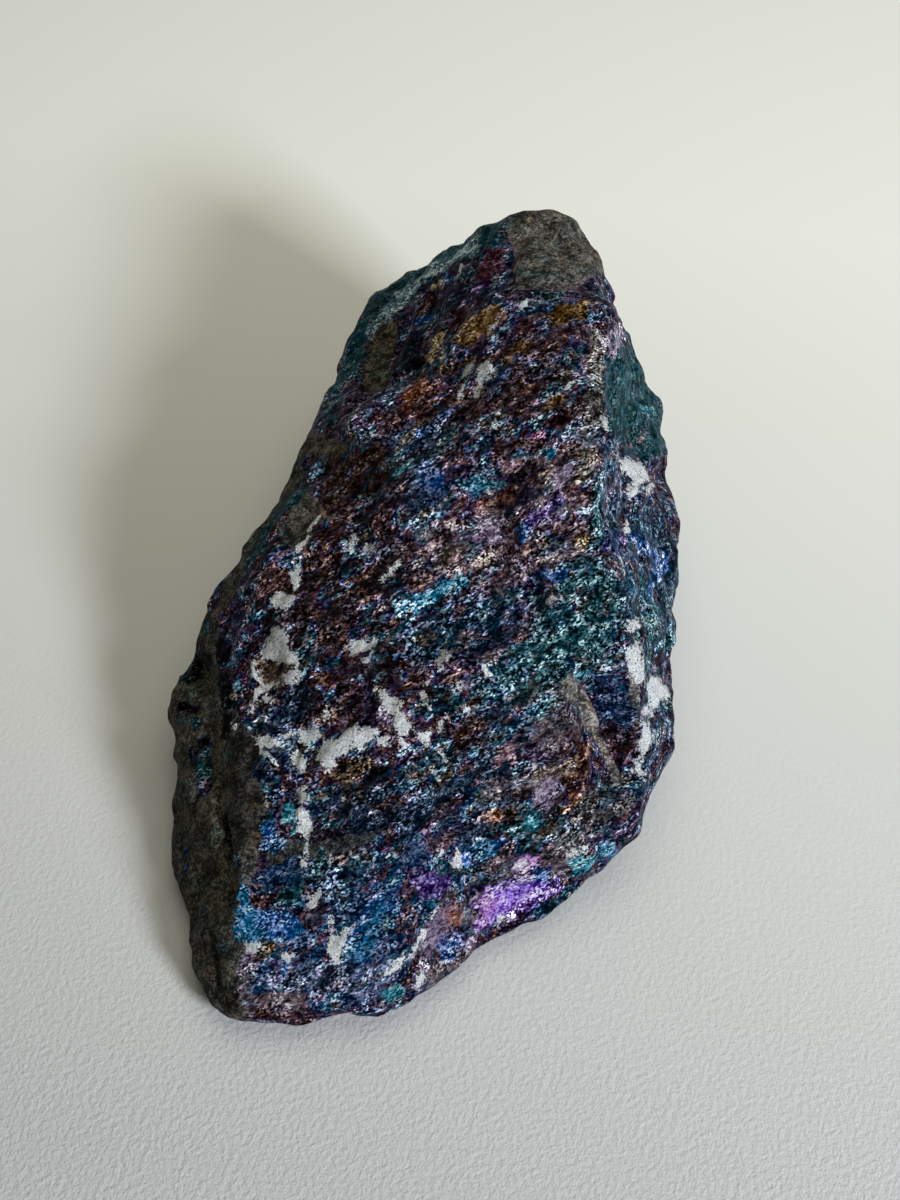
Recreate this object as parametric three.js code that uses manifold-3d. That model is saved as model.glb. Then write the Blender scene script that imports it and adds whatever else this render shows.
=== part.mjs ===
// A hand-sized lump of tarnished chalcopyrite, in millimetres, resting on its flat underside.
// The long axis is +Y, towards the knob of grey rock at the high end; +Z is up.
// The lump is a closed skin stretched over named corner points, then worked like broken ore.

import * as THREE from 'three';
import { ConvexHull } from 'three/addons/math/ConvexHull.js';
import { ImprovedNoise } from 'three/addons/math/ImprovedNoise.js';
import { mergeVertices } from 'three/addons/utils/BufferGeometryUtils.js';
import Module from 'manifold-3d';

// Driving dimensions of the finished lump.
const LENGTH = 115;
const WIDTH = 68;
const HEIGHT = 47;

// How finely the skin is divided, how it is spread over the long body, and how far its edges are eased.
const SKIN_DETAIL = 22;
const SKIN_SPREAD = new THREE.Vector3(31, 56, 24);
const EASING_ROUNDS = 1;
const EASING_SHARE = 0.5;

// The ore breaks in ledges that follow its streaks: the direction the ledges step down, and their size.
const LEDGE_STEP = new THREE.Vector3(-0.92, 0.41, 0.08).normalize();
const LEDGE_PITCH = 9;
const LEDGE_HEIGHT = 0.8;
const LEDGE_DRIFT = 6;

// Broad lumps, broken chips and fine roughness, each with its width and height.
const LUMP_WIDTH = 17;
const LUMP_HEIGHT = 1.2;
const CHIP_WIDTH = 6.5;
const CHIP_TILT = 0.14;
const CHIP_HEIGHT = 0.3;
const ROUGHNESS_WIDTH = 3.1;
const ROUGHNESS_HEIGHT = 0.35;

// Handling has worn the skin smoother near the face it rests on, up to this height.
const WORN_HEIGHT = 10;
const LEAST_RELIEF = 0.35;

// A point well inside the lump from which every corner of it can be seen.
const HEART = new THREE.Vector3(-3, 11, 17);

// Underside: a belly that the flat resting face cuts off.
const BELLY = [[-2, 4, -9], [4, 26, -7], [-12, 34, -7], [-8, -20, -7], [10, -12, -7]];

// Contact outline, where the skin meets the surface it rests on.
const FOOT = [
  [23, 30, 0], [26, 14, 0], [29, 0, 0], [28, -12, 0], [21, -23, 0], [12, -34, 0],
  [4.8, -44.6, 0], [-4.7, -50, 0], [-13, -48, 0], [-22, -37, 0], [-28, -24, 0], [-31, -12, 0],
  [-29, 0, 0], [-27, 14, 0], [-28, 30, 0], [-29, 43, 0], [-23, 52, 0], [-12, 56, 0],
  [0, 54, 0], [9, 48, 0], [17, 40, 0],
];

// Lower walls round the far end and the left side, which stand steeply.
const WALLS = [
  [-34, -12, 5], [-33, 0, 9], [-31, 16, 11], [-32, 30, 10], [-34, 42, 11], [-30, 52, 12],
  [-22, 57, 17], [-10, 59, 22], [0, 57, 20], [9, 51, 14], [17, 44, 9], [22, 34, 7],
];

// Outer edge of the lump, from the far side of the tip round clockwise as seen from above.
const RIM = [
  [-9, 58, 44], [-5, 59.2, 43], [-1, 59, 41], [2.1, 55, 40], [4.8, 52, 38], [6.1, 51, 34],
  [8.9, 50.8, 28], [12.1, 49.4, 25], [15.8, 47, 22], [17.8, 43, 20], [18.8, 39.5, 19], [22, 34, 17],
  [25.8, 25, 15], [27.6, 13.7, 13], [30, 6.3, 10], [31.3, -3, 8], [29.9, -13.3, 5.3], [28.2, -19, 4],
  [23.8, -27, 2.7], [17.4, -32.8, 3], [12, -41.8, 3], [7.5, -47, 3], [-1.5, -51.6, 3],
  [-10.5, -54.7, 3], [-13.1, -52.8, 3], [-17.8, -49, 3], [-20.5, -43.8, 3], [-28.2, -35.6, 3],
  [-30.5, -28.8, 4], [-31.8, -24, 6], [-34, -20, 9], [-36, -14.7, 12], [-35.6, -6.2, 16.3],
  [-31.5, -0.5, 20], [-29.9, 8.2, 22], [-29.4, 18, 24], [-30.5, 24, 24], [-31.4, 36, 23],
  [-32.9, 43.5, 23], [-31, 52.3, 24.8], [-28, 55, 28], [-23.5, 56.1, 32.1], [-19.1, 56.1, 36.1],
  [-16.2, 56.3, 40.3], [-13.3, 57.2, 42.1],
];

// Ridge line round the broad main face, from the tip down the right side and back up the left.
const CREST = [
  [-7.6, 54.4, 45.2], [-2.5, 55, 44.5], [2, 50.5, 44], [6, 42.5, 45], [9.5, 34, 46],
  [12, 24.5, 46], [13.5, 17.5, 46], [15.5, 12.5, 43], [18, 8, 38], [21.5, 5, 35],
  [24, 0, 31], [27.5, -6, 24], [28.5, -9, 19], [29, -12, 15], [29.5, -16.5, 9],
  [20.5, -23, 10.5], [16, -28, 9], [12.5, -31.5, 9], [9.5, -36.5, 8.5], [7, -43, 7],
  [1.3, -48.2, 6], [-2.7, -50.9, 5.4], [-8.8, -53, 5.7], [-12.5, -48, 9], [-12.5, -42.5, 13],
  [-13, -34, 16], [-16.5, -31, 17], [-25, -20, 17.5], [-26.5, -16, 18], [-27.5, -11, 20],
  [-27, -4.5, 23.5], [-26, 2, 26], [-26, 7, 27.5], [-24, 13, 29], [-23, 16.5, 31],
  [-22, 18.5, 33], [-19.5, 22, 34.5], [-14.5, 26.5, 37], [-13, 32, 39], [-12, 38, 41.5],
  [-13, 45.5, 43.5], [-11.3, 51.6, 44.9],
];

// Points inside the main face, which leans towards the near end and rolls down to the left.
const MAIN_FACE = [
  [-1, 39, 46], [-1, 22.5, 43], [-7, 11, 37], [-10, 0.5, 31.5], [-12.5, -10.5, 27],
  [-13.5, -20, 21], [-10, -29, 17.5], [2, -31, 18], [9, -24, 16.5], [16, -17.5, 19],
  [18, -9.5, 28], [15.5, -1.5, 33], [10, 6, 38], [4.5, -1.5, 32], [1.5, -15, 26.5],
];

// The lower shelf on the left of the high end, behind the groove beside the ridge.
const SHELF = [
  [-17.5, 37.5, 33], [-20, 34.5, 30], [-25.5, 35.5, 27], [-30.5, 50, 26], [-31.5, 43, 24],
  [-22.5, 26, 31], [-15, 48.5, 40],
];

// Hollows and ridges that show from a step away: a path over the skin, the reach on each side of it,
// and how far the skin rises there, or sinks where the rise is below zero.
const MARKS = [
  // Groove that parts the shelf from the main face.
  {
    rise: -2.6,
    reach: 3.6,
    path: [[-14.5, 48, 40], [-14.5, 41, 39], [-16, 35, 36], [-18, 28, 34], [-23, 26, 31]],
  },
  // Brown recess on the shelf, and the small ridge beside it.
  { rise: -1.4, reach: 4.5, path: [[-24.5, 39, 28], [-23, 28, 30]] },
  { rise: 1.1, reach: 2.5, path: [[-21, 41.5, 31], [-20, 36, 30.5]] },
  // Cracked notch high on the main face, and the valley that runs down from it.
  { rise: -2.2, reach: 2.6, path: [[0, 10, 37], [4, 12, 39], [4, 14, 40]] },
  { rise: -1.4, reach: 3.2, path: [[1, 8.5, 36.5], [6.5, 3, 35], [9.5, 0.5, 34]] },
  { rise: 1.2, reach: 3, path: [[7.5, 5.5, 37], [11, 10.5, 41], [14, 14.5, 44]] },
  // Three-sided pocket at the right of the main face, with a hard vein on one edge and a step above it.
  { rise: -5, reach: 5.6, path: [[22, -7.5, 26.5], [24.8, -9, 22.5], [26.8, -10.3, 18]] },
  { rise: 1.2, reach: 2.6, path: [[18, -8, 28.5], [20.5, -11, 24.5], [24.5, -13, 17.5]] },
  { rise: 1.2, reach: 2.8, path: [[17.5, -7.5, 29], [20.5, -4.5, 30], [24, -2, 29.5]] },
  // Smooth ledge where the main face turns over to the lower slope, and the step below the grey band.
  { rise: 1, reach: 3, path: [[15, -17, 20], [18, -13.5, 22.5], [20.5, -11, 23]] },
  {
    rise: -1.3,
    reach: 2.8,
    path: [[-12, -36, 15], [-7.5, -35, 16], [-1.5, -32, 17], [4, -29, 18], [8, -25.5, 16]],
  },
  // Lipped ledges of the lower slope.
  { rise: 1.2, reach: 2.6, path: [[-12.5, -43, 12.5], [-6.5, -42.5, 12]] },
  { rise: -1.4, reach: 2.6, path: [[-11.5, -41, 13.5], [-5, -40, 13.5]] },
  { rise: 1, reach: 3, path: [[-3.5, -46, 9], [1.5, -42.5, 10], [7, -37.5, 10]] },
  { rise: -1, reach: 3, path: [[-1.5, -39.5, 13], [3.5, -35, 14], [8.5, -30.5, 12.5]] },
  // Scoop out of the short near side.
  { rise: -1.6, reach: 4.5, path: [[11.5, -35, 7.5], [14, -31.5, 7.5], [19.5, -27, 6.5]] },
  // Black notch and long furrow of the dull left side.
  { rise: -3.4, reach: 3.4, path: [[-35, -13.5, 13], [-31.5, -14, 15]] },
  { rise: 0.4, reach: 3, path: [[-31, -21.5, 11], [-24.5, -30, 9.5], [-18, -42, 8], [-14, -49, 7]] },
  { rise: -0.5, reach: 3, path: [[-26.5, -23.5, 13.5], [-20, -30.5, 13.5], [-16, -38, 12.5]] },
  // Channels along the steep right side, and the notch in its outer edge.
  { rise: -1, reach: 3, path: [[11, 31, 43], [13, 27, 38], [16, 23, 33], [20, 13.5, 33]] },
  { rise: -1.8, reach: 3.4, path: [[19.5, 36, 19], [19, 30, 25]] },
  { rise: -1.2, reach: 3.4, path: [[21.5, 15, 28], [25.5, 5, 25], [28, 0, 18.5]] },
  // Crease round the foot of the tip knob.
  { rise: -0.9, reach: 3, path: [[-7, 42, 44], [-1.5, 40.5, 45.5], [4, 44, 45]] },
];

// Separate layers of noise, so that no two kinds of relief follow each other.
const LUMP_LAYER = 0;
const ROUGHNESS_LAYER = 3;
const DRIFT_LAYER = 5;
const STRENGTH_LAYER = 9;

const noise = new ImprovedNoise();

// A cell of the chip pattern and the 26 cells round it.
const STEPS = [-1, 0, 1];
const CELLS_AROUND = STEPS.flatMap((x) => STEPS.flatMap((y) => STEPS.map((z) => [x, y, z])));

// Large primes that mix a place's whole numbers into one seed.
const SEED_PRIMES = [73856093, 19349663, 83492791, 49979687];

// Gives each whole-numbered place in space its own fixed value from 0 to 1, and another for each turn.
function scatter(x, y, z, turn) {
  const [first, second, third, fourth] = SEED_PRIMES;
  return THREE.MathUtils.seededRandom((x * first) ^ (y * second) ^ (z * third) ^ (turn * fourth));
}

// Smooth noise of a given width, about -1 to 1.
function noiseAt(place, width, layer) {
  return noise.noise(place.x / width + layer, place.y / width + layer, place.z / width + layer);
}

// Triangles between neighbouring corners, found as the hull of their directions from the heart.
function facetsBetween(corners) {
  const cornerOf = new Map();
  for (const corner of corners) {
    cornerOf.set(corner.clone().divide(SKIN_SPREAD).normalize(), corner);
  }
  const hull = new ConvexHull().setFromPoints([...cornerOf.keys()]);
  return hull.faces.map(({ edge }) => {
    return [edge, edge.next, edge.next.next].map((side) => cornerOf.get(side.head().point));
  });
}

// Where the ray from the heart along a direction leaves the facets.
function skinPoint(direction, facets) {
  const ray = new THREE.Ray(new THREE.Vector3(), direction);
  const hit = new THREE.Vector3();
  for (const [a, b, c] of facets) {
    if (ray.intersectTriangle(a, b, c, false, hit)) {
      return hit.add(HEART);
    }
  }
  throw new Error('a direction misses every facet');
}

// A sphere of even triangles stretched out onto the facets between all the corners.
function stretchedSkin() {
  const corners = [...BELLY, ...FOOT, ...WALLS, ...RIM, ...CREST, ...MAIN_FACE, ...SHELF];
  const facets = facetsBetween(corners.map((corner) => new THREE.Vector3(...corner).sub(HEART)));
  const sphere = new THREE.IcosahedronGeometry(1, SKIN_DETAIL);
  sphere.deleteAttribute('normal');
  sphere.deleteAttribute('uv');
  const skin = mergeVertices(sphere);
  const places = skin.attributes.position;
  const direction = new THREE.Vector3();
  for (let i = 0; i < places.count; i += 1) {
    direction.fromBufferAttribute(places, i).multiply(SKIN_SPREAD).normalize();
    places.setXYZ(i, ...skinPoint(direction, facets).toArray());
  }
  return skin;
}

// Moves each vertex part of the way to the middle of its neighbours, which rounds the sharpest edges.
function ease(skin) {
  const places = skin.attributes.position;
  const corners = skin.index.array;
  const sums = Array.from({ length: places.count }, () => new THREE.Vector3());
  const counts = new Array(places.count).fill(0);
  const place = new THREE.Vector3();
  for (let i = 0; i < corners.length; i += 1) {
    const next = i % 3 === 2 ? i - 2 : i + 1;
    sums[corners[i]].add(place.fromBufferAttribute(places, corners[next]));
    counts[corners[i]] += 1;
  }
  for (let i = 0; i < places.count; i += 1) {
    place.fromBufferAttribute(places, i).lerp(sums[i].divideScalar(counts[i]), EASING_SHARE);
    places.setXYZ(i, place.x, place.y, place.z);
  }
}

// Shallow steps along the streaks: each ledge climbs slowly and then drops.
function ledgeHeight(place) {
  const along = place.dot(LEDGE_STEP) + LEDGE_DRIFT * noiseAt(place, LUMP_WIDTH, DRIFT_LAYER);
  const step = along / LEDGE_PITCH;
  const strength = 0.5 + 1.5 * noiseAt(place, 2 * LUMP_WIDTH, STRENGTH_LAYER);
  return LEDGE_HEIGHT * THREE.MathUtils.clamp(strength, 0, 1) * (step - Math.floor(step) - 0.5);
}

// Flat chips: the skin near each scattered seed point tilts and stands its own way.
function chipHeight(place) {
  const cell = place.clone().divideScalar(CHIP_WIDTH).floor();
  let nearest = Infinity;
  let height = 0;
  for (const around of CELLS_AROUND) {
    const [x, y, z] = cell.clone().add(new THREE.Vector3(...around)).toArray();
    const seed = new THREE.Vector3(x + scatter(x, y, z, 1), y + scatter(x, y, z, 2), z + scatter(x, y, z, 3));
    const away = place.clone().sub(seed.multiplyScalar(CHIP_WIDTH));
    if (away.length() < nearest) {
      nearest = away.length();
      const tilt = new THREE.Vector3(scatter(x, y, z, 4), scatter(x, y, z, 5), scatter(x, y, z, 6));
      const slope = CHIP_TILT * away.dot(tilt.subScalar(0.5).multiplyScalar(2));
      height = slope + CHIP_HEIGHT * (2 * scatter(x, y, z, 7) - 1);
    }
  }
  return height;
}

// Rise or fall of the skin near the paths of the marks.
function markHeight(place) {
  const stretch = new THREE.Line3();
  const closest = new THREE.Vector3();
  let height = 0;
  for (const { rise, reach, path } of MARKS) {
    let distance = Infinity;
    for (let i = 1; i < path.length; i += 1) {
      stretch.start.set(...path[i - 1]);
      stretch.end.set(...path[i]);
      stretch.closestPointToPoint(place, true, closest);
      distance = Math.min(distance, closest.distanceTo(place));
    }
    const nearness = Math.max(0, 1 - (distance / reach) ** 2);
    height += rise * nearness * nearness;
  }
  return height;
}

// Raises and sinks the skin along its own outward direction.
function work(skin) {
  skin.computeVertexNormals();
  const places = skin.attributes.position;
  const outward = skin.attributes.normal;
  const place = new THREE.Vector3();
  const direction = new THREE.Vector3();
  for (let i = 0; i < places.count; i += 1) {
    place.fromBufferAttribute(places, i);
    direction.fromBufferAttribute(outward, i);
    const relief = LUMP_HEIGHT * noiseAt(place, LUMP_WIDTH, LUMP_LAYER)
      + ROUGHNESS_HEIGHT * noiseAt(place, ROUGHNESS_WIDTH, ROUGHNESS_LAYER)
      + ledgeHeight(place) + chipHeight(place);
    const worn = THREE.MathUtils.smoothstep(place.z, 0, WORN_HEIGHT);
    const kept = THREE.MathUtils.lerp(LEAST_RELIEF, 1, worn);
    place.addScaledVector(direction, relief * kept + markHeight(place));
    places.setXYZ(i, place.x, place.y, place.z);
  }
}

const wasm = await Module();
wasm.setup();

function solidFrom(geometry) {
  return new wasm.Manifold(new wasm.Mesh({
    numProp: 3,
    vertProperties: new Float32Array(geometry.attributes.position.array),
    triVerts: new Uint32Array(geometry.index.array),
  }));
}

// Cuts the belly off flat, to leave the face that the lump rests on.
function cutFlat(skin) {
  const below = new THREE.BoxGeometry(2 * WIDTH, 2 * LENGTH, HEIGHT).translate(0, 0, -HEIGHT / 2);
  below.deleteAttribute('normal');
  below.deleteAttribute('uv');
  const mesh = solidFrom(skin).subtract(solidFrom(mergeVertices(below))).getMesh();
  const geometry = new THREE.BufferGeometry();
  geometry.setAttribute('position', new THREE.BufferAttribute(mesh.vertProperties, 3));
  geometry.setIndex(new THREE.BufferAttribute(mesh.triVerts, 1));
  return geometry;
}

// Brings the lump to its driving dimensions, centred over the middle of the face it rests on.
function fitToSize(geometry) {
  geometry.computeBoundingBox();
  const { min, max } = geometry.boundingBox;
  geometry.translate(-(min.x + max.x) / 2, -(min.y + max.y) / 2, -min.z);
  geometry.scale(WIDTH / (max.x - min.x), LENGTH / (max.y - min.y), HEIGHT / (max.z - min.z));
}

const skin = stretchedSkin();
for (let round = 0; round < EASING_ROUNDS; round += 1) {
  ease(skin);
}
work(skin);
const lump = cutFlat(skin);
fitToSize(lump);
lump.computeVertexNormals();

const specimen = new THREE.Mesh(
  lump,
  new THREE.MeshStandardMaterial({ color: 0x3b3a45, roughness: 0.45, metalness: 0.7 }),
);
specimen.name = 'chalcopyrite_specimen';

const part = new THREE.Group();
part.add(specimen);
export default part;
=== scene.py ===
from math import cos, radians, sin, tan

import bmesh
import bpy
import numpy as np
from mathutils import Matrix, Vector
from mathutils.bvhtree import BVHTree


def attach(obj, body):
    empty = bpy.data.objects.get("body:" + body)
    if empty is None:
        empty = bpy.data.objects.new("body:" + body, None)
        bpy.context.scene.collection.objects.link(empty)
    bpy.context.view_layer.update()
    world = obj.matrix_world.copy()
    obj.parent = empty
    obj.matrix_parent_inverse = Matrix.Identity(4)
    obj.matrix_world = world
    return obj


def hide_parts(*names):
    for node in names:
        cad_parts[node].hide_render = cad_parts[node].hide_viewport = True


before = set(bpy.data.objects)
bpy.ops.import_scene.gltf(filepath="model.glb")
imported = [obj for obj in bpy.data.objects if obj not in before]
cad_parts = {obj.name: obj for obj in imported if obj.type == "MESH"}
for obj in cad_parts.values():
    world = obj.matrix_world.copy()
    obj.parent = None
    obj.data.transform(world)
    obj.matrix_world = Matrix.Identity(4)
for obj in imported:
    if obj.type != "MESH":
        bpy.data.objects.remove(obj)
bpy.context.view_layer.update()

MM = 0.001

# The photograph's own frame, in pixels, and the camera that saw it. Lengths are in millimetres.
PHOTO_WIDTH = 900
PHOTO_HEIGHT = 1200
PHOTO_MIDDLE = (PHOTO_WIDTH / 2, PHOTO_HEIGHT / 2)
VIEW_ANGLE = 42
VIEW_AZIMUTH = 20
VIEW_ELEVATION = 55
VIEW_DISTANCE = 205
VIEW_TARGET = np.array([1.4, -3.3, 28])
PIXELS_PER_MM = 8
NEAREST_SHOWN = 10
SENSOR_HEIGHT = 36

# Even skin of the lump: its mesh step, how often its voxel steps are smoothed away, how far off it
# a ray starts, and the height below which it is the flat base.
SKIN_STEP = 0.46
SKIN_SMOOTHING = 4
CLEAR_OF_SKIN = 0.6
BASE_HEIGHT = 0.35

# The ore's streaks run this way through the lump, and its flakes are longer along them.
STREAK = np.array([0.63, 0.66, 0.41])
FLAKE_STRETCH = 1.7

# Chips of broken ore: width, then how much they tilt and how far they stand up, in millimetres,
# and how wide the worn edge between two of them is. Roughness: width and height.
CHIPS = ((6.5, 0.08, 0.14), (3.0, 0.20, 0.18))
CHIP_EDGE = 0.45
ROUGHNESS = ((3.0, 0.14), (1.3, 0.13))

# Relief is least near the foot and full above the worn height. Crust stands up this far.
WORN_HEIGHT = 8
LEAST_RELIEF = 0.3
CRUST_RISE = 0.12

# Noise that tears painted edges: the width and amount of each of its parts.
WOBBLE = ((2.6, 1.0), (1.1, 0.6))

# Kinds of ground on the sides that the photograph doesn't show, each with the noise that spreads
# it (its width, its turn and the levels between which it sets in). Then the tarnish and the specks
# of crust that are scattered there: their colours, how many there are and their sizes.
HIDDEN_GROUNDS = (
    ("dark_sea", 19, 21, (0.0, 0.35)),
    ("violet_flaky", 17, 22, (0.1, 0.4)),
    ("blue_flaky", 15, 23, (0.2, 0.45)),
    ("wall_rock", 21, 24, (0.2, 0.45)),
)
HIDDEN_COLOURS = (
    "teal", "cyan", "sky", "blue", "violet", "lilac", "magenta", "orange", "gold", "olive", "bronze",
)
HIDDEN_STROKES = 170
HIDDEN_STROKE_LENGTHS = (0.3, 2.5)
HIDDEN_STROKE_WIDTHS = (0.4, 1.3)
HIDDEN_SPECKS = 70
HIDDEN_SPECK_WIDTHS = (0.2, 1.3)

# Colours of tarnish and rock, as linear red, green and blue. A flake's brightness scales them.
COLOURS = {
    "umber": (0.088, 0.055, 0.072), "soot": (0.040, 0.026, 0.036), "rust": (0.105, 0.046, 0.046),
    "rose": (0.15, 0.10, 0.125), "denim": (0.034, 0.080, 0.19), "straw": (0.17, 0.16, 0.16),
    "mauve": (0.30, 0.24, 0.285), "taupe": (0.062, 0.058, 0.045), "vein": (0.150, 0.138, 0.132),
    "bronze": (0.18, 0.10, 0.038), "russet": (0.20, 0.070, 0.03), "orange": (0.36, 0.15, 0.07),
    "gold": (0.80, 0.58, 0.32), "olive": (0.16, 0.11, 0.060), "wine": (0.055, 0.018, 0.030),
    "magenta": (0.30, 0.09, 0.20), "pink": (0.58, 0.38, 0.44), "orchid": (0.80, 0.44, 1.0),
    "purple": (0.62, 0.40, 1.25), "violet": (0.18, 0.125, 0.40), "lilac": (0.46, 0.37, 0.54),
    "blue": (0.07, 0.20, 0.60), "navy": (0.030, 0.052, 0.13), "sky": (0.10, 0.30, 0.50),
    # ember below is orange tarnish lightened by a painted highlight on shaded ledges.
    "dusk": (0.08, 0.15, 0.38), "cobalt": (0.15, 0.24, 0.52), "ember": (0.95, 0.48, 0.38),
    # glacier below is cyan tarnish lightened by a painted highlight.
    # pewter below is a pale painted sheen, brighter than the tarnish, for light on the shaded shoulder.
    "pewter": (0.42, 0.62, 0.74), "glacier": (0.26, 0.66, 1.0), "haze": (0.26, 0.28, 0.50),
    "azure": (0.05, 0.27, 0.55), "marine": (0.036, 0.090, 0.17), "cyan": (0.17, 0.50, 0.64),
    "patina": (0.022, 0.110, 0.135), "teal": (0.045, 0.15, 0.19), "sea": (0.028, 0.066, 0.125),
    "green": (0.055, 0.15, 0.13), "slate": (0.070, 0.105, 0.19), "steel": (0.12, 0.135, 0.155),
    "plum": (0.080, 0.055, 0.120), "knob": (0.078, 0.074, 0.069), "wall": (0.050, 0.048, 0.042),
    # The first colour below is taupe rock darkened by painted shade.
    "taupe_painted_shade": (0.024, 0.022, 0.020), "band": (0.030, 0.031, 0.034), "stain": (0.070, 0.032, 0.024),
    "copper": (0.44, 0.20, 0.14), "tan": (0.30, 0.22, 0.18), "ink": (0.022, 0.042, 0.090),
    # The black below is painted shade for hollows and notches.
    "painted_shade_black": (0.008, 0.008, 0.010),
}

# Kinds of ground: colour, share of bright flakes, variety of their tarnish, share of dull rock,
# and how rough the ground is.
GROUNDS = {
    "flaky": ("umber", 0.34, 0.75, 0.0, 1.0),
    "dark_flaky": ("soot", 0.36, 0.75, 0.0, 1.0),
    "violet_flaky": ("plum", 0.45, 0.70, 0.0, 1.0),
    "upper_flaky": ("plum", 0.36, 0.75, 0.0, 0.8),
    "russet_flaky": ("rust", 0.45, 0.60, 0.0, 1.0),
    "rose_dust": ("rose", 0.55, 0.55, 0.0, 1.0),
    "sparkling": ("teal", 0.50, 0.50, 0.0, 1.0),
    "dark_sea": ("sea", 0.46, 0.60, 0.0, 1.0),
    "blue_facet": ("marine", 0.40, 0.50, 0.0, 0.9),
    "blue_flaky": ("denim", 0.75, 0.72, 0.0, 0.75),
    "gold_dust": ("straw", 0.75, 0.35, 0.0, 1.0),
    "grey_dust": ("steel", 0.36, 0.45, 0.0, 1.0),
    "teal_skin": ("patina", 0.62, 0.30, 0.1, 0.5),
    "slate_skin": ("slate", 0.60, 0.60, 0.1, 1.0),
    # Painted sheen: a pale skin standing in for light on the shaded shoulder.
    "pewter_skin": ("pewter", 0.65, 0.30, 0.1, 0.8),
    "brown_skin": ("mauve", 0.40, 0.50, 0.1, 0.8),
    "lilac_skin": ("haze", 0.50, 0.60, 0.1, 0.85),
    "mauve_skin": ("mauve", 0.55, 0.4, 0.1, 0.55),
    "brown_stain": ("stain", 0.25, 0.5, 0.3, 0.6),
    "taupe_rock": ("taupe", 0.2, 0.4, 0.75, 0.7),
    "wall_rock": ("wall", 0.30, 0.45, 0.74, 0.6),
    "knob_rock": ("knob", 0.06, 0.3, 1.0, 0.5),
    "vein_rock": ("vein", 0.06, 0.3, 1.0, 0.5),
    "band_rock": ("band", 0.30, 0.4, 0.72, 0.8),
    "deep_blue": ("ink", 0.50, 0.60, 0.0, 1.0),
    # Painted shade: taupe rock darkened where it lies in shade.
    "shade_rock": ("taupe_painted_shade", 0.25, 0.45, 0.70, 0.7),
    # Painted shade: black laid in hollows and notches where shade falls.
    "hollow": ("painted_shade_black", 0.25, 0.5, 0.3, 0.8),
}

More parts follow.
